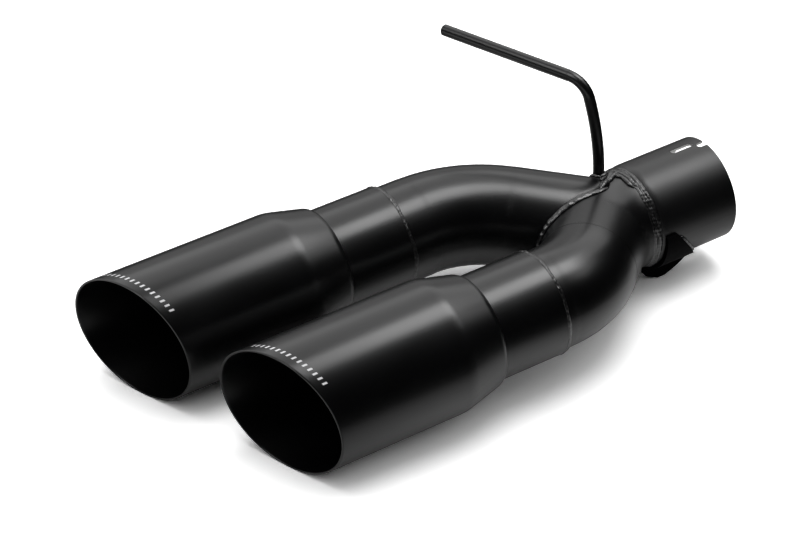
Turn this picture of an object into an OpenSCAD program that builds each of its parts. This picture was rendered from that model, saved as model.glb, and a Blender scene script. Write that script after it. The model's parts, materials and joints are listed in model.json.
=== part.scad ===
// Twin-outlet exhaust tip: a slotted inlet collar feeds two bent pipes that part in a Y,
// and each pipe ends in a slip sleeve and a large tip with a slanted mouth.
// Millimetres. The origin is the centre of the open end of the inlet bore. Y points out of
// the inlet, Z points up, and the left tip stands on the -X side and reaches further forward.

/* [Tips] */
// outside diameter of both tips
tip_diameter = 101.6; // [97:0.1:106]
// sheet thickness of the tips
tip_wall = 1.5; // [1.2:0.1:2.5]
// distance between the two tip axes
tip_spacing = 127; // [120:0.5:136]
// height of the tip axes above the inlet axis
tip_rise = 16; // [10:0.5:20]
// straight barrel of a tip, from the centre of its mouth to the shoulder
tip_barrel = 122.7; // [100:0.1:150]
// radius of the rounded shoulder behind the barrel
shoulder_radius = 36; // [20:0.5:45]
// slope of the cone behind the shoulder
cone_angle = 13.6; // [12:0.1:18]
// radius of the rounding that turns the cone in to the sleeve
neck_radius = 8; // [5:0.1:9]
// slope at which that rounding meets the sleeve
neck_angle = 60; // [45:1:65]
// slant of the common plane that cuts both mouths, seen from above
mouth_angle = 21.3; // [10:0.1:25]
// forward lean of that plane at the top
mouth_lean = 2; // [0:0.1:4]

/* [Sleeves] */
// length of a sleeve
sleeve_length = 52.1; // [42:0.1:60]
// wall of a sleeve
sleeve_wall = 1.75; // [1.5:0.05:2.5]
// depth that a pipe stands in its sleeve
sleeve_overlap = 25; // [15:0.5:38]
// radial clearance of a pipe in its sleeve
slip_clearance = 0.25; // [0.15:0.05:0.4]

/* [Pipes] */
// outside diameter of both pipes
pipe_diameter = 76.2; // [73:0.1:78]
// wall of both pipes
pipe_wall = 1.6; // [1.5:0.1:2.5]
// bend radius of the left pipe, to its centre line
left_bend_radius = 112; // [100:1:122]
// angle of the single bend of the left pipe
left_bend_angle = 37.6; // [35:0.1:40]
// bend radius of the right pipe, to its centre line
right_bend_radius = 64; // [60:0.5:70]
// angle of each of the two opposite bends of the right pipe
right_bend_angle = 45; // [42:0.5:48]
// amount by which bending draws a tube or rod in below its straight radius
bend_draw = 0.12; // [0.1:0.02:0.3]
// straight pipe between the right sleeve and the first bend
right_lead = 10; // [3.6:0.1:20]
// distance from the inlet end to the point where the centre lines of the pipes cross
junction_reach = 93.6; // [91:0.1:97]
// gap left at the saddle cut for the weld
saddle_gap = 0.4; // [0.3:0.05:0.6]
// amount by which the opening between the pipes stays inside the left bore
port_margin = 1.2; // [1:0.1:3]

/* [Inlet collar] */
// length of the inlet collar
collar_length = 68; // [60:0.5:71]
// wall of the inlet collar
collar_wall = 2; // [1.4:0.05:2.4]
// radial clearance of the mating pipe in the open bore of the collar
inlet_clearance = 0.5; // [0.5:0.05:0.8]
// radial clearance of the right pipe in its seat in the collar
joint_clearance = 0.05; // [0.03:0.01:0.1]
// straight end of the right pipe in front of the collar
collar_lead = 1; // [0.5:0.1:6]
// depth that the right pipe stands in the collar
collar_overlap = 18; // [12:0.5:24]
// length of the rounded front edge of the collar
nose_length = 5.5; // [4:0.1:8]
// amount by which the front edge rounds inwards
nose_drop = 1.1; // [0.8:0.05:1.2]
// width of the closed slots
slot_width = 5; // [4:0.1:7]
// length of the closed slots
slot_length = 19.6; // [14:0.1:26]
// distance from the collar end to the closed slots
slot_setback = 8.8; // [8.6:0.1:14]
// width of the notches that are open at the collar end
notch_width = 5.8; // [4:0.1:7]
// depth of the notches
notch_depth = 7.4; // [5:0.1:8]
// angle of the closed slot about the collar axis
slot_angle = 99; // [80:0.5:110]
// angle of the notch about the collar axis
notch_angle = 92.5; // [80:0.5:100]

/* [Hanger rod] */
// diameter of the rod
rod_diameter = 9; // [8:0.5:12]
// place of the rod's foot to the left of the inlet axis
rod_foot_left = 22; // [20:0.5:24]
// distance of the rod's foot behind the point where the pipes' centre lines cross
rod_foot_back = 9.6; // [8:0.1:11]
// straight part of the rod above its foot, counted from the middle of the saddle
rod_stand = 34.9; // [32:0.5:45]
// direction of the rod seen from above, turned forward from straight left
rod_heading = 22.5; // [15:0.5:30]
// radius of the long easy bend of the rod
rod_easy_radius = 225; // [150:5:300]
// angle of the long easy bend
rod_easy_angle = 16.6; // [10:0.2:22]
// radius of the tight bend at the top, to the centre line
rod_bend_radius = 18.9; // [14:0.1:25]
// straight level end that goes into the rubber hanger
rod_reach = 114; // [90:1:130]
// chamfer at the free end
rod_chamfer = 1.2; // [0.5:0.1:2]

/* [Lower bracket] */
// thickness of the bracket plate
bracket_thickness = 6; // [4:0.5:8]
// side distance from the inlet axis to the inner face of the plate
bracket_side = 11.5; // [9:0.5:14]
// depth of the bracket's foot below the inlet axis
bracket_depth = 53.8; // [50:0.1:58]
// length of the flat foot
bracket_foot = 7; // [5:0.5:12]
// length of the sloping edge in front of the foot
bracket_toe = 11.5; // [8:0.5:14]
// length of the rising edge behind the foot
bracket_heel = 23; // [18:0.5:28]
// height of that rising edge at its rear end
bracket_rise = 12.8; // [10:0.1:16]
// distance from the collar's front edge back to the front of the plate and strap
bracket_setback = 2; // [1:0.5:6]
// width of the strap at its top, where it ends on the side of the collar
strap_width = 10; // [7:0.5:14]
// thickness of the strap
strap_thickness = 3; // [2:0.1:4]
// height of the strap's top end above the inlet axis
strap_top = 5; // [0:0.5:10]

/* [Welds] */
// width of a weld bead along each surface
bead_width = 3.2; // [2.5:0.1:3.4]
// crown of a weld bead above the line between its edges
bead_crown = 1; // [0.6:0.1:1.4]
// spacing of the ripples along a bead
bead_pitch = 5.2; // [4.5:0.1:7]

/* [Hidden] */
$fn = 72;

// step of the ripple pattern at which each ring bead starts
left_phase = 0;
right_phase = 17;
collar_phase = 31;
// clearance that keeps a bead just off the surfaces it lies on
bead_lift = 0.06;
// overrun of cutting shapes past the faces that they cut
over = 2;
// length by which the end of a bend is tucked in to the straight bar next to it
bend_tuck = 0.5;

half = tip_spacing / 2;
tip_r = tip_diameter / 2;
pipe_r = pipe_diameter / 2;
bore_r = pipe_r - pipe_wall;
slip_r = pipe_r + slip_clearance;
joint_r = pipe_r + joint_clearance;
sleeve_r = slip_r + sleeve_wall;
inlet_r = pipe_r + inlet_clearance;
collar_r = inlet_r + collar_wall;
nose_r = collar_r - nose_drop;

// tip profile, as the distances behind the centre of the mouth
shoulder_run = shoulder_radius * sin(cone_angle);
shoulder_fall = shoulder_radius * (1 - cos(cone_angle));
neck_run = neck_radius * (sin(neck_angle) - sin(cone_angle));
neck_fall = neck_radius * (cos(cone_angle) - cos(neck_angle));
cone_fall = tip_r - sleeve_r - shoulder_fall - neck_fall;
cone_run = cone_fall / tan(cone_angle);
tip_length = tip_barrel + shoulder_run + cone_run + neck_run;

// right pipe: two equal and opposite bends in a plane through the tip and inlet axes
collar_front = -collar_length;
right_bend_end = collar_front - collar_lead;
right_tilt = atan2(tip_rise, half);
right_offset = norm([half, tip_rise]);
rb = right_bend_radius;
ra = right_bend_angle;
right_middle = (right_offset - 2 * rb * (1 - cos(ra))) / sin(ra);
right_bend_start = right_bend_end - 2 * rb * sin(ra) - right_middle * cos(ra);
right_pipe_rear = collar_front + collar_overlap;
right_sleeve_rear = right_bend_start - right_lead;
right_seam = right_sleeve_rear - sleeve_length;
right_mouth = right_seam - tip_length;
right_pipe_front = right_sleeve_rear - sleeve_overlap;

// junction: the point of the right centre line that the left centre line runs to
junction_turn = asin((junction_reach + right_bend_end) / rb);
junction_side = rb * (1 - cos(junction_turn));
junction = [junction_side * cos(right_tilt), -junction_reach, junction_side * sin(right_tilt)];

// left pipe: one bend in the plane through the left tip axis and the junction
lb = left_bend_radius;
la = left_bend_angle;
left_tilt = atan2(tip_rise - junction[2], half + junction[0]);
left_offset = norm([half + junction[0], tip_rise - junction[2]]);
left_middle = (left_offset - lb * (1 - cos(la))) / sin(la);
left_bend_start = -junction_reach - lb * sin(la) - left_middle * cos(la);
left_mouth = right_mouth - tip_spacing * tan(mouth_angle);
left_seam = left_mouth + tip_length;
left_sleeve_rear = left_seam + sleeve_length;
left_pipe_front = left_sleeve_rear - sleeve_overlap;

// frame of the last straight part of the left pipe: along it, across it and up
left_along = [sin(la) * cos(left_tilt), cos(la), -sin(la) * sin(left_tilt)];
left_across = [cos(la) * cos(left_tilt), -sin(la), -cos(la) * sin(left_tilt)];
left_up = [sin(left_tilt), 0, cos(left_tilt)];

// rod
rod_r = rod_diameter / 2;
rod_foot = [-rod_foot_left, rod_foot_back - junction_reach, 0];

// straight round bar from the origin along Y
module bar(length, r) {
    rotate([-90, 0, 0]) rotate([0, 0, 180]) cylinder(h = length, r = r);
}

// straight round bar from the origin against Y
module back_bar(length, r) {
    rotate([90, 0, 0]) rotate([0, 0, 180]) cylinder(h = length, r = r);
}

// frames at the far end of the two kinds of bend
module after_right(radius, angle) {
    translate([radius, 0, 0]) rotate([0, 0, -angle]) translate([-radius, 0, 0]) children();
}

module after_left(radius, angle) {
    translate([-radius, 0, 0]) rotate([0, 0, angle]) translate([radius, 0, 0]) children();
}

// round bar that starts along Y and bends towards +X, tucked in to its neighbours
module bend_right(radius, angle, r) {
    more = bend_tuck / radius * 180 / PI;
    translate([radius, 0, 0])
        rotate([0, 0, 180 - angle - more])
            rotate_extrude(angle = angle + 2 * more)
                translate([radius, 0])
                    circle(r = r - bend_draw);
}

// round bar that starts along Y and bends towards -X, tucked in to its neighbours
module bend_left(radius, angle, r) {
    more = bend_tuck / radius * 180 / PI;
    translate([-radius, 0, 0])
        rotate([0, 0, -more])
            rotate_extrude(angle = angle + 2 * more)
                translate([radius, 0])
                    circle(r = r - bend_draw);
}

// plane of the left pipe: Y stays, X points from the tip axis to the junction
module left_plane() {
    translate([-half, 0, tip_rise]) rotate([0, left_tilt, 0]) children();
}

// plane of the right pipe: Y stays, X points from the tip axis to the inlet axis
module right_plane() {
    mirror([1, 0, 0]) translate([-half, 0, tip_rise]) rotate([0, right_tilt, 0]) children();
}

// filled course of the left pipe, longer by front and rear than the pipe itself
module left_course(r, front, rear) {
    left_plane() translate([0, left_bend_start, 0]) {
        back_bar(left_bend_start - left_pipe_front + front, r);
        bend_right(lb, la, r);
        after_right(lb, la) bar(left_middle + rear, r);
    }
}

// filled course of the right pipe, longer by front and rear than the pipe itself
module right_course(r, front, rear) {
    right_plane() translate([0, right_bend_start, 0]) {
        back_bar(right_bend_start - right_pipe_front + front, r);
        bend_right(rb, ra, r);
        after_right(rb, ra) {
            bar(right_middle, r);
            translate([0, right_middle, 0]) {
                bend_left(rb, ra, r);
                after_left(rb, ra) bar(right_pipe_rear - right_bend_end + rear, r);
            }
        }
    }
}

// distance of a point from the centre line of the right pipe
function in_right(p) = let (x = half - p[0], z = p[2] - tip_rise)
    [x * cos(right_tilt) - z * sin(right_tilt), p[1], x * sin(right_tilt) + z * cos(right_tilt)];
function right_gap(p) = right_gap_in(in_right(p));
function right_gap_in(q) = min(
    q[1] <= right_bend_start ? norm([q[0], q[2]]) : 1000,
    arc_gap(rb - q[0], q[1] - right_bend_start, q[2], rb, ra),
    leg_gap(q[0] - rb * (1 - cos(ra)), q[1] - right_bend_start - rb * sin(ra), q[2], ra, right_middle),
    arc_gap(q[0] - right_offset + rb, right_bend_end - q[1], q[2], rb, ra),
    q[1] >= right_bend_end ? norm([q[0] - right_offset, q[2]]) : 1000);
function arc_gap(x, y, z, radius, angle) = let (turn = atan2(y, x))
    turn >= 0 && turn <= angle ? norm([norm([x, y]) - radius, z]) : 1000;
function leg_gap(x, y, z, angle, length) = let (t = x * sin(angle) + y * cos(angle))
    t >= 0 && t <= length ? norm([x * cos(angle) - y * sin(angle), z]) : 1000;

// distance of a point from the last straight part of the left pipe
function left_gap(p) = let (v = p - junction, t = v * left_along)
    t > 0 ? 1000 : norm(v - t * left_along);

// direction straight away from the centre line of the right pipe
function right_out(p) = unit([
    right_gap(p + [0.1, 0, 0]) - right_gap(p - [0.1, 0, 0]),
    right_gap(p + [0, 0.1, 0]) - right_gap(p - [0, 0.1, 0]),
    right_gap(p + [0, 0, 0.1]) - right_gap(p - [0, 0, 0.1])]);
function unit(v) = v / norm(v);

// saddle curve: the point where the generator of the left pipe at angle a meets the right pipe
function left_skin(a, t) =
    junction + pipe_r * (cos(a) * left_across + sin(a) * left_up) - t * left_along;
function saddle_t(a, low, high, n) = n == 0 ? (low + high) / 2 :
    let (mid = (low + high) / 2)
    right_gap(left_skin(a, mid)) < pipe_r + saddle_gap ?
        saddle_t(a, mid, high, n - 1) : saddle_t(a, low, mid, n - 1);
function saddle(a) = left_skin(a, saddle_t(a, 0, left_middle, 22));

// ripple of a bead: height and lag of its crown at step i, three steps to a ripple
function ripple(i) = [0.55, 1.15, 1][i % 3];
function wobble(i) = 1 + 0.12 * sin(i * 47) + 0.08 * sin(i * 131);

// solid through a closed chain of sections with m points each
module closed_bead(sections) {
    n = len(sections);
    m = len(sections[0]);
    polyhedron(
        points = [for (s = sections) for (p = s) p],
        faces = [for (i = [0:n - 1]) for (j = [0:m - 1])
            let (a = i * m + j, b = i * m + (j + 1) % m, c = ((i + 1) % n) * m + j,
                d = ((i + 1) % n) * m + (j + 1) % m)
            for (f = [[a, c, b], [b, c, d]]) f]);
}

// solid through an open chain of sections with m points each
module open_bead(sections) {
    n = len(sections);
    m = len(sections[0]);
    polyhedron(
        points = [for (s = sections) for (p = s) p],
        faces = concat(
            [for (i = [0:n - 2]) for (j = [0:m - 1])
                let (a = i * m + j, b = i * m + (j + 1) % m, c = (i + 1) * m + j,
                    d = (i + 1) * m + (j + 1) % m)
                for (f = [[a, c, b], [b, c, d]]) f],
            [for (j = [1:m - 2]) [0, j, j + 1]],
            [for (j = [1:m - 2]) [(n - 1) * m, (n - 1) * m + j + 1, (n - 1) * m + j]]));
}

// ring bead around a bar of radius r along Y, lying against an end face of radius face_r at y = 0
module ring_bead(r, face_r, first) {
    count = 3 * round(2 * PI * r / bead_pitch);
    low = r / cos(180 / count) + bead_lift;
    high = max(face_r, low + 0.4);
    closed_bead([for (i = [0:count - 1])
        let (a = i * 360 / count, w = bead_width * (0.93 + 0.07 * wobble(i + first)),
            h = bead_crown * ripple(i) * wobble(2 * i + first))
        [ring_point(a, low, bead_lift),
            ring_point(a, high, bead_lift),
            ring_point(a - 0.6, high - (high - low) * 0.3 + h * 0.8, w * 0.3 + bead_lift),
            ring_point(a - 0.9, high - (high - low) * 0.6 + h * 0.8, w * 0.62 + bead_lift),
            ring_point(a, low, w)]]);
}
function ring_point(a, r, y) = [r * cos(a), y, r * sin(a)];

// tip wall as a turned profile along Y, mouth end overlong until the slanted cut
module tip_solid() {
    long = tip_r * tan(mouth_angle) + tip_r * tan(mouth_lean) + 2 * over;
    steps = 6;
    outer = concat(
        [[tip_r, -long]],
        [for (i = [0:steps]) let (a = cone_angle * i / steps)
            [tip_r - shoulder_radius * (1 - cos(a)), tip_barrel + shoulder_radius * sin(a)]],
        [for (i = [0:steps]) let (a = cone_angle + (neck_angle - cone_angle) * i / steps)
            [tip_r - shoulder_fall - cone_fall - neck_radius * (cos(cone_angle) - cos(a)),
                tip_length - neck_run + neck_radius * (sin(a) - sin(cone_angle))]]);
    inner = [for (p = outer) [p[0] - tip_wall, p[1]]];
    backward = [for (i = [len(inner) - 1:-1:0]) inner[i]];
    difference() {
        rotate([-90, 0, 0])
            rotate_extrude()
                polygon([for (p = concat(outer, backward)) [p[0], p[1]]]);
        rotate([0, 0, mouth_angle])
            rotate([mouth_lean, 0, 0])
                translate([-2 * tip_r, -4 * tip_r, -2 * tip_r])
                    cube([4 * tip_r, 4 * tip_r, 4 * tip_r]);
    }
}

module left_tip() {
    color([0.05, 0.05, 0.05])
        translate([-half, left_mouth, tip_rise])
            tip_solid();
}

module right_tip() {
    color([0.05, 0.05, 0.05])
        translate([half, right_mouth, tip_rise])
            tip_solid();
}

module sleeve_solid() {
    difference() {
        bar(sleeve_length, sleeve_r);
        translate([0, -over, 0]) bar(sleeve_length + 2 * over, slip_r);
    }
}

module left_sleeve() {
    color([0.06, 0.06, 0.06])
        translate([-half, left_seam, tip_rise])
            sleeve_solid();
}

module right_sleeve() {
    color([0.06, 0.06, 0.06])
        translate([half, right_seam, tip_rise])
            sleeve_solid();
}

// the left pipe ends in a saddle cut that follows the outside of the right pipe
module left_pipe() {
    color([0.05, 0.05, 0.05])
        difference() {
            left_course(pipe_r, 0, 0);
            left_course(bore_r, over, over);
            right_course(pipe_r + saddle_gap, 0, over);
        }
}

// the right pipe runs through to the collar and is opened where the left bore enters
module right_pipe() {
    color([0.05, 0.05, 0.05])
        difference() {
            right_course(pipe_r, 0, 0);
            right_course(bore_r, over, over);
            left_plane()
                translate([left_offset, -junction_reach, 0])
                    rotate([0, 0, 180 - la])
                        bar(left_middle, bore_r - port_margin);
        }
}

// stadium cut through both walls, from y = from to y = to, at an angle about Y
module slot_cut(width, from, to, angle) {
    rotate([0, -angle, 0])
        for (side = [0, 180])
            rotate([0, side, 0])
                translate([bore_r, 0, 0])
                    rotate([0, 90, 0])
                        linear_extrude(height = collar_r - bore_r + 3) {
                            translate([-width / 2, from + width / 2])
                                square([width, to - from - width]);
                            translate([0, from + width / 2]) circle(d = width, $fn = 32);
                            translate([0, to - width / 2]) circle(d = width, $fn = 32);
                        }
}

module inlet_collar() {
    steps = 5;
    bow = (nose_length * nose_length + nose_drop * nose_drop) / (2 * nose_drop);
    sweep = asin(nose_length / bow);
    profile = concat(
        [[joint_r, -collar_length], [joint_r, right_pipe_rear], [inlet_r, right_pipe_rear],
            [inlet_r, 0], [collar_r, 0]],
        [for (i = [0:steps]) let (a = sweep * i / steps)
            [collar_r - bow * (1 - cos(a)), -collar_length + nose_length - bow * sin(a)]]);
    color([0.06, 0.06, 0.06])
        difference() {
            rotate([-90, 0, 0]) rotate_extrude() polygon(profile);
            slot_cut(slot_width, -slot_setback - slot_length, -slot_setback, slot_angle);
            slot_cut(notch_width, -notch_depth, notch_width + over, notch_angle);
        }
}

// rod that stands on the saddle, leans over in an easy bend, then turns level
module rod_course() {
    $fn = 36;
    rotate([0, 0, 180 + rod_heading])
        rotate([90, 0, 0]) {
            bar(rod_stand, rod_r);
            translate([0, rod_stand, 0]) {
                bend_right(rod_easy_radius, rod_easy_angle, rod_r);
                after_right(rod_easy_radius, rod_easy_angle) {
                    bend_right(rod_bend_radius, 90 - rod_easy_angle, rod_r - bend_draw);
                    after_right(rod_bend_radius, 90 - rod_easy_angle)
                        rotate([-90, 0, 0])
                            rotate_extrude()
                                polygon([[0, 0], [rod_r, 0], [rod_r, rod_reach - rod_chamfer],
                                    [rod_r - rod_chamfer, rod_reach], [0, rod_reach]]);
                }
            }
        }
}

module hanger_rod() {
    color([0.05, 0.05, 0.05])
        difference() {
            translate(rod_foot) rod_course();
            right_course(pipe_r, 0, 0);
            left_course(pipe_r, 0, 0);
        }
}

// plate under the collar with a flat foot, and a strap that climbs the side of the collar;
// both end at the rear on one sloping edge
bracket_front = collar_front + bracket_setback;
foot_front = bracket_front + bracket_toe;
bracket_rear = foot_front + bracket_foot + bracket_heel;
strap_rear = bracket_front + strap_width;
edge_slope = (bracket_rear - strap_rear) / (strap_top + bracket_depth - bracket_rise);
function edge_y(z) = strap_rear + (strap_top - z) * edge_slope;
module lower_bracket() {
    plate_top = -collar_r / 2;
    strap_r = collar_r + strap_thickness;
    strap_low = -acos((bracket_side + bracket_thickness / 2) / collar_r);
    strap_high = asin(strap_top / strap_r);
    color([0.05, 0.05, 0.05])
        difference() {
            union() {
                translate([bracket_side, 0, 0])
                    rotate([90, 0, 90])
                        linear_extrude(height = bracket_thickness)
                            polygon([[bracket_front, plate_top],
                                [bracket_front, -bracket_depth + bracket_rise / 2],
                                [foot_front, -bracket_depth],
                                [foot_front + bracket_foot, -bracket_depth],
                                [foot_front + bracket_foot + bracket_heel / 2,
                                    -bracket_depth + 0.4 * bracket_rise],
                                [bracket_rear, -bracket_depth + bracket_rise],
                                [edge_y(plate_top), plate_top]]);
                intersection() {
                    translate([0, bracket_rear, 0])
                        rotate([90, 0, 0])
                            rotate([0, 0, strap_low])
                                rotate_extrude(angle = strap_high - strap_low)
                                    translate([collar_r - 0.5, 0])
                                        square([strap_thickness + 0.5, bracket_rear - bracket_front]);
                    rotate([90, 0, 90])
                        linear_extrude(height = 2 * strap_r)
                            polygon([[bracket_front, strap_top + over],
                                [bracket_front, -strap_r], [edge_y(-strap_r), -strap_r],
                                [edge_y(strap_top + over), strap_top + over]]);
                }
            }
            translate([0, collar_front - over, 0])
                bar(collar_length + 2 * over, collar_r);
        }
}

module left_sleeve_weld() {
    color([0.08, 0.08, 0.08])
        translate([-half, left_sleeve_rear, tip_rise])
            ring_bead(pipe_r, sleeve_r, left_phase);
}

module right_sleeve_weld() {
    color([0.08, 0.08, 0.08])
        translate([half, right_sleeve_rear, tip_rise])
            ring_bead(pipe_r, sleeve_r, right_phase);
}

module collar_weld() {
    color([0.08, 0.08, 0.08])
        translate([0, collar_front, 0])
            mirror([0, 1, 0])
                ring_bead(pipe_r, nose_r, collar_phase);
}

// bead along the saddle curve, open where the rod stands
rod_side = rod_foot - junction;
rod_turn = atan2(pipe_r, rod_side * left_across);
module merge_weld() {
    count = 3 * 42;
    skip = 22;
    from = rod_turn + skip;
    sweep = 360 - 2 * skip;
    color([0.08, 0.08, 0.08])
        open_bead([for (i = [0:count])
            let (a = from + sweep * i / count, q = saddle(a),
                along = unit(saddle(a + 1) - saddle(a - 1)),
                n1 = cos(a) * left_across + sin(a) * left_up,
                n2 = right_out(q),
                d1 = unit(cross(n1, along)),
                d2 = unit(cross(along, n2)),
                end = min(1, 0.35 + 0.65 * min(i, count - i) / 4),
                w = bead_width * end * (0.9 + 0.1 * wobble(i)),
                h = bead_crown * end * ripple(i) * wobble(2 * i),
                low = q - (saddle_gap - bead_lift) * n2,
                side_a = q + w * d1 + bead_lift * n1,
                side_b = q + w * d2 - (saddle_gap - bead_lift) * n2,
                out = unit(n1 + n2), lag = -0.5 * along)
            [low,
                q + bead_lift * n1 + 0.02 * d1,
                side_a,
                side_a * 0.65 + side_b * 0.35 + h * out + lag,
                side_a * 0.35 + side_b * 0.65 + h * out + lag,
                side_b]]);
}

// small bead around the foot of the rod, on the skin of the two pipes
function skin_z(x, y, low, high, n) = n == 0 ? high :
    let (mid = (low + high) / 2, p = [x, y, mid])
    min(right_gap(p), left_gap(p)) < pipe_r + bead_lift ?
        skin_z(x, y, mid, high, n - 1) : skin_z(x, y, low, mid, n - 1);
function rod_skin(a, r) = let (x = rod_foot[0] + r * cos(a), y = rod_foot[1] + r * sin(a))
    [x, y, skin_z(x, y, 0, pipe_r + 6, 20)];
module hanger_weld() {
    count = 30;
    near = rod_r / cos(180 / 30) + bead_lift;
    color([0.08, 0.08, 0.08])
        closed_bead([for (i = [0:count - 1])
            let (a = i * 360 / count, h = bead_width * (0.75 + 0.2 * wobble(3 * i)),
                w = 2.4 + 0.3 * wobble(i), c = rod_skin(a, near), b = rod_skin(a, near + w),
                top = [c[0], c[1], c[2] + h])
            [c, top, (top + b) / 2 + 0.5 * ripple(i) * [cos(a), sin(a), 1], b]]);
}

// bead along the sloping rear edge of the strap, on the side of the collar
module bracket_weld() {
    count = 24;
    from = asin((strap_top - 5) / collar_r);
    sweep = -38;
    color([0.08, 0.08, 0.08])
        open_bead([for (i = [0:count])
            let (a = from + sweep * i / count, end = min(1, 0.5 + min(i, count - i) / 4),
                w = bead_width * end * (0.9 + 0.1 * wobble(i)), h = bead_crown * end * ripple(i),
                r = collar_r + bead_lift, top = collar_r + 0.75 * w,
                y = edge_y(r * sin(a)) + bead_lift, y_top = edge_y(top * sin(a)) + bead_lift)
            [ring_point(a, r, y),
                ring_point(a, top, y_top),
                ring_point(a + 1, (r + 2 * top) / 3 + h * 0.6, y_top + w * 0.3 + h * 0.3),
                ring_point(a, r, y + w)]]);
}

left_tip();
right_tip();
left_sleeve();
right_sleeve();
left_pipe();
right_pipe();
inlet_collar();
hanger_rod();
lower_bracket();
left_sleeve_weld();
right_sleeve_weld();
merge_weld();
collar_weld();
hanger_weld();
bracket_weld();
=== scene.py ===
"""Twin-outlet exhaust tip in a satin black coat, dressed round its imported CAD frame.

Everything is in metres in the frame's own axes: Y out of the inlet, Z up, mouths towards -Y.
"""

import json
import math

import bmesh
import bpy
from mathutils import Matrix, Vector, noise
from mathutils.bvhtree import BVHTree

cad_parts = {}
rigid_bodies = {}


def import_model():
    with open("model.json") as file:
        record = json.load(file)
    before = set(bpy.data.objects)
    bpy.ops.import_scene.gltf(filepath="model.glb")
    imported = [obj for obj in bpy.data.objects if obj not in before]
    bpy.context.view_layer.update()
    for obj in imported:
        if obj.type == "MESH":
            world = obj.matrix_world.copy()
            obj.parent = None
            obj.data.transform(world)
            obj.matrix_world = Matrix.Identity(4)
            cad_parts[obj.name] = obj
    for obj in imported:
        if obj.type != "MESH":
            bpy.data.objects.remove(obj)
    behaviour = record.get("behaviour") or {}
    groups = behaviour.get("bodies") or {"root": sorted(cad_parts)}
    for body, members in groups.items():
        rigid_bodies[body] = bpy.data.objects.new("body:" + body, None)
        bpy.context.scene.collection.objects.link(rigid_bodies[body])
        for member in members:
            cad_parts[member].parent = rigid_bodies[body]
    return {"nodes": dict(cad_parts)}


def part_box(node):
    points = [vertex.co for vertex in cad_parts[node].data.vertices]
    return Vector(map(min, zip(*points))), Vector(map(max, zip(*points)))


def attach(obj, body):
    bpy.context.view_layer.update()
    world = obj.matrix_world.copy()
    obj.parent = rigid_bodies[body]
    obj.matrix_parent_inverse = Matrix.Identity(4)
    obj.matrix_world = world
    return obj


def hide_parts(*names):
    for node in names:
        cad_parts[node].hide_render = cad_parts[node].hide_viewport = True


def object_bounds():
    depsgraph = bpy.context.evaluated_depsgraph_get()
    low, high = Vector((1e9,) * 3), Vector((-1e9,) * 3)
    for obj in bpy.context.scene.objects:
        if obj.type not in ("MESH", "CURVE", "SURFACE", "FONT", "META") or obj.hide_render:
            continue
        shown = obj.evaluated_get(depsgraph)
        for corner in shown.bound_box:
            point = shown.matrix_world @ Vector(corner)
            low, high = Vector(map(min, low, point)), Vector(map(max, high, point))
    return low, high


for leftover in list(bpy.data.objects):
    bpy.data.objects.remove(leftover)

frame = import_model()
cad_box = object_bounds()
nodes = frame["nodes"]

MM = 0.001
WHITE = (1, 1, 1, 1)

# Tip profile, as in the CAD source
TIP_WALL = 1.5 * MM
TIP_BARREL = 122.7 * MM
SHOULDER_RADIUS = 36 * MM
CONE_ANGLE = math.radians(13.6)
NECK_RADIUS = 8 * MM
NECK_ANGLE = math.radians(60)
MOUTH_ANGLE = math.radians(21.3)
MOUTH_LEAN = math.radians(2)
# The rim's softened edges: their width, how soft the corner is and how far the barrel stays plain
RIM_EDGE = 0.3 * MM
RIM_CORNER = 0.3 * RIM_EDGE
RIM_PLAIN = 4 * RIM_EDGE
TIP_SEGMENTS = 224
SHOULDER_STEPS = 10
NECK_STEPS = 12
BARREL_STEPS = 12
CREASE_ANGLE = math.radians(40)

# Plain ticks on the barrel near the rim
TICK_COUNT = 15
TICK_FROM = math.radians(121)
TICK_TO = math.radians(52)
TICK_SETBACK = 6.6 * MM
TICK_LENGTH = 3.6 * MM
TICK_WIDTH = 1.5 * MM
TICK_PROUD = 0.03 * MM
TICK_FACES = 3

# Camera, found from the photograph's perspective
CAMERA_AT = Vector((1.274258, -1.018591, 1.206531))
CAMERA_FORWARD = Vector((-0.677526, 0.396099, -0.619729))
CAMERA_UP = Vector((-0.514717, 0.346534, 0.784207))
IMAGE_WIDTH = 800
FOCAL_PIXELS = 2617.0
SENSOR = 36.0
NEAREST, FARTHEST = 0.05, 50

# The bracket's foot, by its place along Y and half its width, and the floor that it stands on
FOOT_AT = -51 * MM
FOOT_HALF = 3 * MM
FLOOR_DROP = 0.15 * MM
FLOOR_SIZE = 12.0
FLOOR_WHITE = 0.95
FLOOR_EXTRA = 0.45
# Painted reflection: the floor's colour, as the coat mirrors it, darkens away from the object
# What the coat mirrors of the floor: bright beside the object, dark from FADE_X and FADE_Y on
FADE_X = 0.32
FADE_Y = 0.40
FADE_SHIFT = (0.03, 0.05)
FADE_RAMP = ((0.08, 0.02), (0.6, 0.78))
# Before the mouths it is bright again, from the first of these places along Y to the second
FRONT_FROM = -0.25
FRONT_TO = -0.33
FRONT_BRIGHT = 0.9
WORLD_DARK = 0.003

# The coat: patches of other sheen and tone, its orange peel, and the lumps of a weld
BLACK = (0.001, 0.001, 0.0012)
ETCHED_GREY = (0.55, 0.55, 0.56)
PATCH_SCALE = 24.0
SHEEN_SPREAD = 0.035
TONE_RAMP = ((0.3, 0.75), (0.7, 1.3))
PEEL_SCALE = 900.0
PEEL_STRENGTH = 0.12
PEEL_DEPTH = 0.05 * MM
LUMP_SCALE = 420.0
LUMP_DEPTH = 0.3 * MM
# Width over which the pipes' shading rounds small ledges
PIPE_SOFTENING = 5.0 * MM
SOFTENING_SAMPLES = 8

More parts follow.
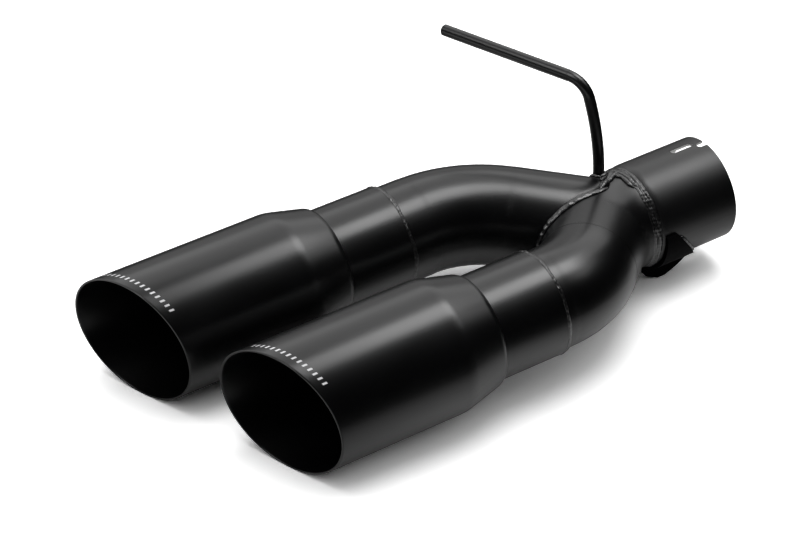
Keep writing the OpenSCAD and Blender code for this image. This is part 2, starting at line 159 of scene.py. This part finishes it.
# Bare steel, and where the collar shows it: its bore, and the cut walls of its slots and notches
STEEL = (0.8, 0.8, 0.79, 1)
STEEL_METALLIC = 0.5
STEEL_ROUGHNESS = (0.3, 0.5)
STREAK_SCALE = 60.0
BARE_RADIUS = 39.0 * MM
CUT_RADIUS = 40.4 * MM
CUT_FROM = 12 * MM
CUT_TO = 0.2 * MM

# Strands of weld metal: how they wander, ripple, swell, taper and flatten, and how high they lie
STRAND_STEP = 0.8 * MM
STRAND_SIDES = 8
WANDER = 1.7 * MM
WANDER_SCALE = 70
RIPPLE = 0.09
RIPPLE_STEPS = 4
SWELL = 0.4
SWELL_SCALE = 2.6
TAPER_START, TAPER_STEP = 0.25, 0.15
FLATNESS = 0.7
STRAND_LIFT = 0.3
DROP_FROM = 0.3

# Beads grown from the CAD's: merging, finer faces, how far they grow and their lumps (scale, height)
BEAD_MERGE = 0.01 * MM
BEAD_LEVELS = 2
BEAD_GROWTH = 0.25
BEAD_LUMPS = ((330, 0.35), (900, 0.12))
BEAD_SEED = 7.3


def node_tree(owner):
    """An empty node tree on a material or the world."""
    owner.use_nodes = True
    owner.node_tree.nodes.clear()
    return owner.node_tree


def add_node(tree, kind, **settings):
    """A node with its settings: attributes by name, sockets by 'in_' and their index."""
    node = tree.nodes.new(kind)
    for key, value in settings.items():
        if key.startswith("in_"):
            node.inputs[int(key[3:])].default_value = value
        else:
            setattr(node, key, value)
    return node


def coat_material(name, colour, roughness, lumps=0.0, gloss=0.5, soften=0.0):
    """Satin paint on steel: a fine orange peel, patches of other sheen and a faint change of tone."""
    material = bpy.data.materials.new(name)
    tree = node_tree(material)
    link = tree.links.new
    out = add_node(tree, "ShaderNodeOutputMaterial")
    shader = add_node(tree, "ShaderNodeBsdfPrincipled")
    shader.inputs["Specular IOR Level"].default_value = gloss
    link(shader.outputs[0], out.inputs[0])
    place = add_node(tree, "ShaderNodeTexCoord").outputs["Object"]

    patches = add_node(tree, "ShaderNodeTexNoise")
    patches.inputs["Scale"].default_value = PATCH_SCALE
    patches.inputs["Detail"].default_value = 4.0
    link(place, patches.inputs["Vector"])
    sheen = add_node(tree, "ShaderNodeMapRange")
    sheen.inputs["To Min"].default_value = roughness - SHEEN_SPREAD
    sheen.inputs["To Max"].default_value = roughness + SHEEN_SPREAD
    link(patches.outputs["Fac"], sheen.inputs["Value"])
    link(sheen.outputs["Result"], shader.inputs["Roughness"])

    tone = add_node(tree, "ShaderNodeValToRGB")
    for stop, (position, share) in zip(tone.color_ramp.elements, TONE_RAMP):
        stop.position = position
        stop.color = (*[c * share for c in colour], 1)
    link(patches.outputs["Fac"], tone.inputs["Fac"])
    link(tone.outputs["Color"], shader.inputs["Base Color"])

    peel = add_node(tree, "ShaderNodeTexNoise")
    peel.inputs["Scale"].default_value = PEEL_SCALE
    peel.inputs["Detail"].default_value = 2.0
    link(place, peel.inputs["Vector"])
    height = add_node(tree, "ShaderNodeBump")
    height.inputs["Strength"].default_value = PEEL_STRENGTH
    height.inputs["Distance"].default_value = PEEL_DEPTH
    link(peel.outputs["Fac"], height.inputs["Height"])
    if soften:
        rounded = add_node(tree, "ShaderNodeBevel", samples=SOFTENING_SAMPLES)
        rounded.inputs["Radius"].default_value = soften
        link(rounded.outputs["Normal"], height.inputs["Normal"])
    if lumps:
        coarse = add_node(tree, "ShaderNodeTexNoise")
        coarse.inputs["Scale"].default_value = LUMP_SCALE
        coarse.inputs["Detail"].default_value = 3.0
        link(place, coarse.inputs["Vector"])
        second = add_node(tree, "ShaderNodeBump")
        second.inputs["Strength"].default_value = lumps
        second.inputs["Distance"].default_value = LUMP_DEPTH
        link(coarse.outputs["Fac"], second.inputs["Height"])
        link(height.outputs["Normal"], second.inputs["Normal"])
        height = second
    link(height.outputs["Normal"], shader.inputs["Normal"])
    return material


def mesh_piece(name, points, faces, material):
    """A smooth-shaded piece from points and faces, riding on the one body."""
    mesh = bpy.data.meshes.new(name)
    mesh.from_pydata(points, [], faces)
    mesh.materials.append(material)
    for polygon in mesh.polygons:
        polygon.use_smooth = True
    mesh.update()
    piece = bpy.data.objects.new(name, mesh)
    bpy.context.scene.collection.objects.link(piece)
    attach(piece, "root")
    return piece


class Tip:
    """The turned tip that a CAD node stands for: its axis, sizes and slanted mouth."""

    def __init__(self, node):
        low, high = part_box(node)
        self.radius = (high.x - low.x) / 2
        self.x = (high.x + low.x) / 2
        self.z = (high.z + low.z) / 2
        self.rear = high.y
        self.slope_x = math.tan(MOUTH_ANGLE)
        self.slope_z = -math.tan(MOUTH_LEAN) / math.cos(MOUTH_ANGLE)
        self.mouth = low.y + self.radius * math.hypot(self.slope_x, self.slope_z)

    def rim(self, radius, angle):
        """The place along Y where the mouth's plane cuts a circle of that radius at an angle."""
        side = radius * math.cos(angle)
        up = radius * math.sin(angle)
        return self.mouth + self.slope_x * side + self.slope_z * up

    def point(self, radius, y, angle):
        """The point at a radius, a place along Y and an angle round the tip's axis."""
        return Vector((self.x + radius * math.cos(angle), y, self.z + radius * math.sin(angle)))


def arc_values(start, end, steps):
    """Evenly spaced values from start to end, both included."""
    return [start + (end - start) * i / steps for i in range(steps + 1)]


def tip_profile(tip):
    """Outer profile behind the barrel: (radius, y) through shoulder, cone and neck to the sleeve."""
    rows = []
    for a in arc_values(0, CONE_ANGLE, SHOULDER_STEPS):
        fall = SHOULDER_RADIUS * (1 - math.cos(a))
        rows.append((tip.radius - fall, tip.mouth + TIP_BARREL + SHOULDER_RADIUS * math.sin(a)))
    sleeve_low, sleeve_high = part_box("left_sleeve")
    end_radius = (sleeve_high.x - sleeve_low.x) / 2
    for a in arc_values(CONE_ANGLE, NECK_ANGLE, NECK_STEPS):
        rise = NECK_RADIUS * (math.cos(a) - math.cos(NECK_ANGLE))
        run = NECK_RADIUS * (math.sin(NECK_ANGLE) - math.sin(a))
        rows.append((end_radius + rise, tip.rear - run))
    return rows


def make_tip(node, name, material):
    """The tip as one clean turned sheet with softened rim edges, in the place of its CAD node."""
    tip = Tip(node)
    outer, inner = tip.radius, tip.radius - TIP_WALL
    lip = [(outer, RIM_PLAIN), (outer, RIM_EDGE),
           (outer - RIM_CORNER, RIM_CORNER), (outer - RIM_EDGE, 0),
           (inner + RIM_EDGE, 0), (inner + RIM_CORNER, RIM_CORNER),
           (inner, RIM_EDGE), (inner, RIM_PLAIN)]
    behind = tip_profile(tip)
    barrel = arc_values(0, 1, BARREL_STEPS)[1:-1]
    rows = []
    rows += [("fixed", r, y) for r, y in behind[::-1]]
    rows += [("blend", outer, share) for share in barrel[::-1]]
    rows += [("lip", r, offset) for r, offset in lip]
    rows += [("blend", inner, share) for share in barrel]
    rows += [("fixed", r - TIP_WALL, y) for r, y in behind]
    points = []
    for kind, radius, value in rows:
        for i in range(TIP_SEGMENTS):
            angle = 2 * math.pi * i / TIP_SEGMENTS
            if kind == "fixed":
                y = value
            elif kind == "lip":
                y = tip.rim(radius, angle) + value
            else:
                start = tip.rim(radius, angle) + RIM_PLAIN
                y = start + (tip.mouth + TIP_BARREL - start) * value
            points.append(tip.point(radius, y, angle))
    count = len(rows)
    faces = []
    for k in range(count):
        after = (k + 1) % count
        for i in range(TIP_SEGMENTS):
            j = (i + 1) % TIP_SEGMENTS
            faces.append((k * TIP_SEGMENTS + i, k * TIP_SEGMENTS + j,
                          after * TIP_SEGMENTS + j, after * TIP_SEGMENTS + i))
    piece = mesh_piece(name, points, faces, material)
    sharpen(piece)
    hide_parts(node)
    return tip


def sharpen(piece):
    """Outward faces, and sharp edges where two faces meet at more than CREASE_ANGLE."""
    work = bmesh.new()
    work.from_mesh(piece.data)
    bmesh.ops.recalc_face_normals(work, faces=work.faces)
    for edge in work.edges:
        if len(edge.link_faces) == 2:
            edge.smooth = edge.calc_face_angle() < CREASE_ANGLE
    work.to_mesh(piece.data)
    work.free()


def make_ticks(tip, name, material):
    """A row of identical etched ticks that follows the slanted rim over the top of the barrel."""
    points, faces = [], []
    half = TICK_WIDTH / 2 / tip.radius
    for k in range(TICK_COUNT):
        middle = TICK_FROM + (TICK_TO - TICK_FROM) * k / (TICK_COUNT - 1)
        base = len(points)
        for row in (0, 1):
            for i in range(TICK_FACES + 1):
                angle = middle - half + 2 * half * i / TICK_FACES
                y = tip.rim(tip.radius, angle) + TICK_SETBACK + row * TICK_LENGTH
                points.append(tip.point(tip.radius + TICK_PROUD, y, angle))
        behind = base + TICK_FACES + 1
        for i in range(TICK_FACES):
            faces.append((base + i, base + i + 1, behind + i + 1, behind + i))
    piece = mesh_piece(name, points, faces, material)


def compare(tree, kind, value, limit):
    """1 where the value is on the kind's side of the limit, else 0."""
    test = add_node(tree, "ShaderNodeMath", operation=kind, in_1=limit)
    tree.links.new(value, test.inputs[0])
    return test.outputs[0]


def combine(tree, kind, first, second):
    """One value from two by a math node of that kind."""
    node = add_node(tree, "ShaderNodeMath", operation=kind)
    tree.links.new(first, node.inputs[0])
    tree.links.new(second, node.inputs[1])
    return node.outputs[0]


def bare_inside(material, start, end):
    """Bare steel in the collar's bore, and on the walls cut through it from start to end along Y."""
    tree = material.node_tree
    link = tree.links.new
    out = next(node for node in tree.nodes if node.bl_idname == "ShaderNodeOutputMaterial")
    painted = out.inputs[0].links[0].from_socket
    steel = add_node(tree, "ShaderNodeBsdfPrincipled")
    steel.inputs["Base Color"].default_value = STEEL
    steel.inputs["Metallic"].default_value = STEEL_METALLIC
    place = add_node(tree, "ShaderNodeTexCoord").outputs["Object"]
    streaks = add_node(tree, "ShaderNodeTexNoise")
    streaks.inputs["Scale"].default_value = STREAK_SCALE
    link(place, streaks.inputs["Vector"])
    polish = add_node(tree, "ShaderNodeMapRange")
    polish.inputs["To Min"].default_value = STEEL_ROUGHNESS[0]
    polish.inputs["To Max"].default_value = STEEL_ROUGHNESS[1]
    link(streaks.outputs["Fac"], polish.inputs["Value"])
    link(polish.outputs["Result"], steel.inputs["Roughness"])
    across = add_node(tree, "ShaderNodeVectorMath", operation="MULTIPLY", in_1=(1, 0, 1))
    link(place, across.inputs[0])
    reach = add_node(tree, "ShaderNodeVectorMath", operation="LENGTH")
    link(across.outputs["Vector"], reach.inputs[0])
    split = add_node(tree, "ShaderNodeSeparateXYZ")
    link(place, split.inputs[0])
    bore = compare(tree, "LESS_THAN", reach.outputs["Value"], BARE_RADIUS)
    wall = compare(tree, "LESS_THAN", reach.outputs["Value"], CUT_RADIUS)
    after = compare(tree, "GREATER_THAN", split.outputs["Y"], start)
    before = compare(tree, "LESS_THAN", split.outputs["Y"], end)
    cut = combine(tree, "MULTIPLY", wall, combine(tree, "MULTIPLY", after, before))
    mix = add_node(tree, "ShaderNodeMixShader")
    link(combine(tree, "MAXIMUM", bore, cut), mix.inputs[0])
    link(painted, mix.inputs[1])
    link(steel.outputs[0], mix.inputs[2])
    link(mix.outputs[0], out.inputs[0])


class Skin:
    """The top surface of some CAD nodes, found by dropping a line on to them."""

    def __init__(self, names):
        self.trees = []
        for name in names:
            mesh = nodes[name].data
            corners = [vertex.co for vertex in mesh.vertices]
            sides = [tuple(polygon.vertices) for polygon in mesh.polygons]
            self.trees.append(BVHTree.FromPolygons(corners, sides))

    def drop(self, x, y):
        """The highest point of the skin at a place."""
        start, down = Vector((x, y, DROP_FROM)), Vector((0, 0, -1))
        hits = [tree.ray_cast(start, down)[0] for tree in self.trees]
        return max((hit for hit in hits if hit is not None), key=lambda hit: hit.z)


def strand(path, outs, radius, seed, closed):
    """A wandering, rippled run of weld metal along a path, as points and faces."""
    points, faces = [], []
    count = len(path)
    for i in range(count):
        after = path[(i + 1) % count] if closed or i + 1 < count else path[i]
        before = path[i - 1] if closed or i else path[i]
        along = (after - before).normalized()
        side = along.cross(outs[i]).normalized()
        key = path[i] * WANDER_SCALE + Vector((seed, 0, 0))
        middle = path[i] + side * noise.noise(key) * WANDER
        ripple = RIPPLE * math.cos(2 * math.pi * i / RIPPLE_STEPS)
        swell = SWELL * noise.noise(key * SWELL_SCALE)
        taper = 1.0 if closed else min(1.0, TAPER_START + TAPER_STEP * min(i, count - 1 - i))
        size = radius * taper * (1 + ripple + swell)
        for k in range(STRAND_SIDES):
            turn = 2 * math.pi * k / STRAND_SIDES
            flat = FLATNESS * math.sin(turn)
            points.append(middle + size * (math.cos(turn) * side + flat * outs[i]))
    for i in range(count if closed else count - 1):
        j = (i + 1) % count
        for k in range(STRAND_SIDES):
            n = (k + 1) % STRAND_SIDES
            faces.append((i * STRAND_SIDES + k, i * STRAND_SIDES + n,
                          j * STRAND_SIDES + n, j * STRAND_SIDES + k))
    if not closed:
        faces.append(tuple(range(STRAND_SIDES))[::-1])
        faces.append(tuple((count - 1) * STRAND_SIDES + k for k in range(STRAND_SIDES)))
    return points, faces


def ring_strand(x, z, radius, y, thick, seed):
    """A closed strand round an axis along Y."""
    count = RIPPLE_STEPS * round(2 * math.pi * radius / STRAND_STEP / RIPPLE_STEPS)
    turns = [2 * math.pi * i / count for i in range(count)]
    outs = [Vector((math.cos(a), 0, math.sin(a))) for a in turns]
    path = [Vector((x, y, z)) + radius * out for out in outs]
    return strand(path, outs, thick, seed, True)


def skin_strand(skin, places, thick, seed):
    """An open strand through places given as (x, y), lying on the skin below it."""
    marks = [Vector((x, y, 0)) * MM for x, y in places]
    path, outs = [], []
    for a, b in zip(marks, marks[1:]):
        steps = max(1, round((b - a).length / STRAND_STEP))
        for k in range(steps):
            path.append(a + (b - a) * k / steps)
    for i, flat in enumerate(path):
        hit = skin.drop(flat.x, flat.y)
        path[i] = hit + Vector((0, 0, STRAND_LIFT * thick))
        outs.append(Vector((0, 0, 1)))
    return strand(path, outs, thick, seed, False)


def make_weld(node, name, material, seed, strands):
    """A finer, lumpier bead grown from the CAD bead and kept in its place, with extra strands."""
    work = bmesh.new()
    work.from_mesh(nodes[node].data)
    bmesh.ops.remove_doubles(work, verts=work.verts, dist=BEAD_MERGE)
    bmesh.ops.recalc_face_normals(work, faces=work.faces)
    coarse = bpy.data.meshes.new(name + "_coarse")
    work.to_mesh(coarse)
    work.free()
    helper = bpy.data.objects.new(name + "_helper", coarse)
    bpy.context.scene.collection.objects.link(helper)
    helper.modifiers.new("finer", "SUBSURF").levels = BEAD_LEVELS
    graph = bpy.context.evaluated_depsgraph_get()
    fine = bpy.data.meshes.new_from_object(helper.evaluated_get(graph))
    bpy.data.objects.remove(helper)
    moved = []
    shift = Vector((seed, 0, 0))
    for vertex in fine.vertices:
        place = Vector(vertex.co)
        lump = sum(noise.noise(place * scale + shift) * tall for scale, tall in BEAD_LUMPS)
        moved.append(place + vertex.normal * (BEAD_GROWTH + lump) * MM)
    faces = [tuple(polygon.vertices) for polygon in fine.polygons]
    for points, sides in strands:
        base = len(moved)
        moved += points
        faces += [tuple(base + index for index in side) for side in sides]
    piece = mesh_piece(name, moved, faces, material)
    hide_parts(node)


def floor_plane(tips):
    """A point and the normal of the plane through both lower rims and the bracket's foot."""
    down = -math.pi / 2
    rims = [tip.point(tip.radius, tip.rim(tip.radius, down), down) for tip in tips]
    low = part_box("lower_bracket")[0]
    foot = Vector((low.x + FOOT_HALF, FOOT_AT, low.z))
    normal = (rims[1] - rims[0]).cross(foot - rims[0]).normalized()
    return rims[0], normal


def grey(value):
    """A neutral colour of that brightness."""
    return (value, value, value, 1)


def make_floor(tips):
    """A white floor that keeps the shadow. Its colour in reflections darkens away from the object, a
    painted reflection.
    """
    material = bpy.data.materials.new("floor_white")
    tree = node_tree(material)
    link = tree.links.new
    out = add_node(tree, "ShaderNodeOutputMaterial")
    base = add_node(tree, "ShaderNodeBsdfDiffuse")
    base.inputs["Color"].default_value = grey(FLOOR_WHITE)
    extra = add_node(tree, "ShaderNodeBsdfDiffuse")
    extra.inputs["Color"].default_value = grey(FLOOR_EXTRA)
    both = add_node(tree, "ShaderNodeAddShader")
    link(base.outputs[0], both.inputs[0])
    link(extra.outputs[0], both.inputs[1])
    # Painted reflection: for all but camera rays the floor's colour is bright by the object and
    # before the mouths, dark further out
    plain = add_node(tree, "ShaderNodeBsdfDiffuse")
    middle = add_node(tree, "ShaderNodeTexCoord")
    spread = add_node(tree, "ShaderNodeMapping")
    shift_x, shift_y = FADE_SHIFT
    spread.inputs["Location"].default_value = (-shift_x / FADE_X, -shift_y / FADE_Y, 0)
    spread.inputs["Scale"].default_value = (1 / FADE_X, 1 / FADE_Y, 1)
    link(middle.outputs["Object"], spread.inputs["Vector"])
    ball = add_node(tree, "ShaderNodeTexGradient", gradient_type="SPHERICAL")
    link(spread.outputs["Vector"], ball.inputs["Vector"])
    fade = add_node(tree, "ShaderNodeValToRGB")
    for stop, (position, value) in zip(fade.color_ramp.elements, FADE_RAMP):
        stop.position = position
        stop.color = grey(value)
    link(ball.outputs["Fac"], fade.inputs["Fac"])
    split = add_node(tree, "ShaderNodeSeparateXYZ")
    link(middle.outputs["Object"], split.inputs[0])
    front = add_node(tree, "ShaderNodeMapRange")
    front.inputs["From Min"].default_value = FRONT_FROM
    front.inputs["From Max"].default_value = FRONT_TO
    front.inputs["To Max"].default_value = FRONT_BRIGHT
    link(split.outputs["Y"], front.inputs["Value"])
    painted_reflection = combine(tree, "MAXIMUM", fade.outputs["Color"], front.outputs["Result"])
    link(painted_reflection, plain.inputs["Color"])
    path = add_node(tree, "ShaderNodeLightPath")
    mix = add_node(tree, "ShaderNodeMixShader")
    link(path.outputs["Is Camera Ray"], mix.inputs[0])
    link(plain.outputs[0], mix.inputs[1])
    link(both.outputs[0], mix.inputs[2])
    link(mix.outputs[0], out.inputs[0])

    half = FLOOR_SIZE / 2
    mesh = bpy.data.meshes.new("floor")
    corners = [(-half, -half, 0), (half, -half, 0), (half, half, 0), (-half, half, 0)]
    mesh.from_pydata(corners, [], [(0, 1, 2, 3)])
    mesh.materials.append(material)
    floor = bpy.data.objects.new("floor", mesh)
    bpy.context.scene.collection.objects.link(floor)
    contact, normal = floor_plane(tips)
    turn = Vector((0, 0, 1)).rotation_difference(normal).to_matrix().to_4x4()
    centre = Vector((0, (cad_box[0].y + cad_box[1].y) / 2, 0))
    centre -= normal * ((centre - contact).dot(normal) + FLOOR_DROP)
    floor.matrix_world = Matrix.Translation(centre) @ turn
    return centre


def place_lamp(lamp, name, location, direction):
    """A lamp object at a place, shining against the given direction."""
    holder = bpy.data.objects.new(name, lamp)
    bpy.context.scene.collection.objects.link(holder)
    holder.location = location
    holder.rotation_mode = "QUATERNION"
    holder.rotation_quaternion = direction.to_track_quat("Z", "Y")
    return holder


def make_panel(name, target, direction, distance, width, height, radiance):
    """A softbox with a stated brightness of its face, seen in the coat only."""
    lamp = bpy.data.lights.new(name, "AREA")
    lamp.shape = "RECTANGLE"
    lamp.size = width
    lamp.size_y = height
    lamp.energy = math.pi * radiance * width * height
    direction = Vector(direction).normalized()
    holder = place_lamp(lamp, name, target + direction * distance, direction)
    holder.visible_diffuse = False


def make_sky_light(name, direction, spread, strength):
    """An even soft light from above, for the floor and its shadows only."""
    lamp = bpy.data.lights.new(name, "SUN")
    lamp.angle = math.radians(spread)
    lamp.energy = strength
    direction = Vector(direction).normalized()
    holder = place_lamp(lamp, name, direction, direction)
    holder.visible_glossy = False


def make_world():
    """White to the camera, and near black to everything that the coat reflects."""
    world = bpy.data.worlds.new("studio")
    bpy.context.scene.world = world
    tree = node_tree(world)
    link = tree.links.new
    out = add_node(tree, "ShaderNodeOutputWorld")
    dark = add_node(tree, "ShaderNodeBackground")
    dark.inputs["Color"].default_value = grey(WORLD_DARK)
    white = add_node(tree, "ShaderNodeBackground")
    white.inputs["Color"].default_value = WHITE
    path = add_node(tree, "ShaderNodeLightPath")
    mix = add_node(tree, "ShaderNodeMixShader")
    link(path.outputs["Is Camera Ray"], mix.inputs[0])
    link(dark.outputs[0], mix.inputs[1])
    link(white.outputs[0], mix.inputs[2])
    link(mix.outputs[0], out.inputs[0])


def make_camera():
    """The camera at the photograph's place, with its lens."""
    data = bpy.data.cameras.new("camera")
    data.sensor_width = SENSOR
    data.lens = FOCAL_PIXELS * SENSOR / IMAGE_WIDTH
    data.clip_start = NEAREST
    data.clip_end = FARTHEST
    camera = bpy.data.objects.new("camera", data)
    bpy.context.scene.collection.objects.link(camera)
    back = -CAMERA_FORWARD.normalized()
    right = CAMERA_UP.cross(back).normalized()
    up = back.cross(right)
    turn = Matrix((right, up, back)).transposed().to_4x4()
    camera.matrix_world = Matrix.Translation(CAMERA_AT) @ turn
    bpy.context.scene.camera = camera


make_camera()
make_world()

coat = coat_material("satin_black", BLACK, roughness=0.29)
weld_coat = coat_material("weld_black", BLACK, roughness=0.33, lumps=0.5, gloss=0.9)
pipe_coat = coat_material("pipe_black", BLACK, roughness=0.29, soften=PIPE_SOFTENING)
# Painted shade: the bracket's copy of the coat has its gloss nearly off, so it stays dark as if in
# shade
bracket_shaded_coat = coat_material("bracket_shaded_black", BLACK, roughness=0.5, gloss=0.012)
collar_coat = coat_material("collar_black", BLACK, roughness=0.37)
collar_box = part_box("inlet_collar")
bare_inside(collar_coat, collar_box[0].y + CUT_FROM, collar_box[1].y - CUT_TO)
rod_coat = coat_material("rod_black", BLACK, roughness=0.32, gloss=0.55)
etched = coat_material("etched_grey", ETCHED_GREY, roughness=0.5)

WELDS = ["left_sleeve_weld", "right_sleeve_weld", "merge_weld", "collar_weld", "hanger_weld",
         "bracket_weld"]
finish = {name: weld_coat for name in WELDS}
finish["lower_bracket"] = bracket_shaded_coat
finish["hanger_rod"] = rod_coat
finish["inlet_collar"] = collar_coat
finish["left_pipe"] = finish["right_pipe"] = pipe_coat
for node_name, node in nodes.items():
    node.data.materials[0] = finish.get(node_name, coat)

left = make_tip("left_tip", "left_tip_turned", coat)
right = make_tip("right_tip", "right_tip_turned", coat)
centre = make_floor([left, right])

# Softboxes: direction from the middle of the floor, distance, width, height and radiance. The coat
# mirrors the last two only in views from other sides
PANELS = {
    "top_strip": ((-0.06, 0.43, 0.90), 1.4, 0.56, 0.62, 8.5),
    "upper_panel": ((-0.59, 0.40, 0.70), 1.6, 2.4, 1.2, 1.5),
    "side_panel": ((-0.90, 0.40, 0.22), 1.6, 2.4, 1.5, 0.5),
    "back_fill": ((0.22, 0.66, 0.74), 1.6, 0.6, 0.4, 2.0),
    "front_panel": ((-0.1, -0.45, 0.88), 1.5, 0.7, 0.9, 4.0),
    "left_panel": ((-0.85, -0.45, 0.35), 1.6, 0.9, 0.9, 1.5),
}
STRIP_SHIFT = Vector((0.04, 0, 0))
for panel, (direction, distance, width, height, radiance) in PANELS.items():
    target = centre + STRIP_SHIFT if panel == "top_strip" else centre
    make_panel(panel, target, direction, distance, width, height, radiance)
SKY_FROM = (-0.1, 0.1, 1)
make_sky_light("sky_light", SKY_FROM, spread=45, strength=1.7)
make_sky_light("room_light", SKY_FROM, spread=120, strength=2.4)

make_ticks(left, "left_tip_ticks", etched)
make_ticks(right, "right_tip_ticks", etched)

# Extra strands of weld metal in mm. Rings have a radius, a distance from the sleeve's end or the
# collar's front, a thickness and a seed
SLEEVE_RINGS = [(39.5, 1.3, 1.25, 3.1), (38.5, 2.7, 0.8, 5.7)]
COLLAR_RINGS = [(39.2, 1.1, 1.5, 11.0), (38.6, 3.1, 1.6, 23.0), (38.2, 4.9, 1.4, 37.0),
                (38.0, 6.3, 1.2, 51.0)]
# Those over the crotch between the saddle bead, the rod's foot and the collar have their places
# as (x, y), a thickness and a seed
CROTCH_STRANDS = [
    ([(3, -100), (-2, -93), (-7, -87), (-12, -80), (-18, -72)], 2.4, 2.0),
    ([(0, -95), (-5, -88), (-8, -82), (-11, -76), (-13, -71)], 2.3, 9.0),
    ([(-8, -92), (-12, -88), (-13, -83), (-17, -77), (-21, -73)], 2.2, 15.0),
    ([(-24, -79), (-15, -75), (-6, -73), (4, -72), (14, -71)], 2.0, 27.0),
    ([(-22, -84), (-13, -80), (-4, -76), (5, -75), (12, -74)], 1.8, 33.0),
]
strands = {name: [] for name in WELDS}
for side, tip in (("left", left), ("right", right)):
    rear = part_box(side + "_sleeve")[1].y
    for radius, out, thick, seed in SLEEVE_RINGS:
        ring = ring_strand(tip.x, tip.z, radius * MM, rear + out * MM, thick * MM, seed * len(side))
        strands[side + "_sleeve_weld"].append(ring)
for radius, out, thick, seed in COLLAR_RINGS:
    ring = ring_strand(0, 0, radius * MM, collar_box[0].y - out * MM, thick * MM, seed)
    strands["collar_weld"].append(ring)
skin = Skin(["right_pipe", "left_pipe"])
for places, thick, seed in CROTCH_STRANDS:
    strands["merge_weld"].append(skin_strand(skin, places, thick * MM, seed))
for count, weld in enumerate(WELDS, start=1):
    make_weld(weld, weld + "_bead", weld_coat, BEAD_SEED * count, strands[weld])

bpy.context.scene.view_settings.view_transform = "Standard"
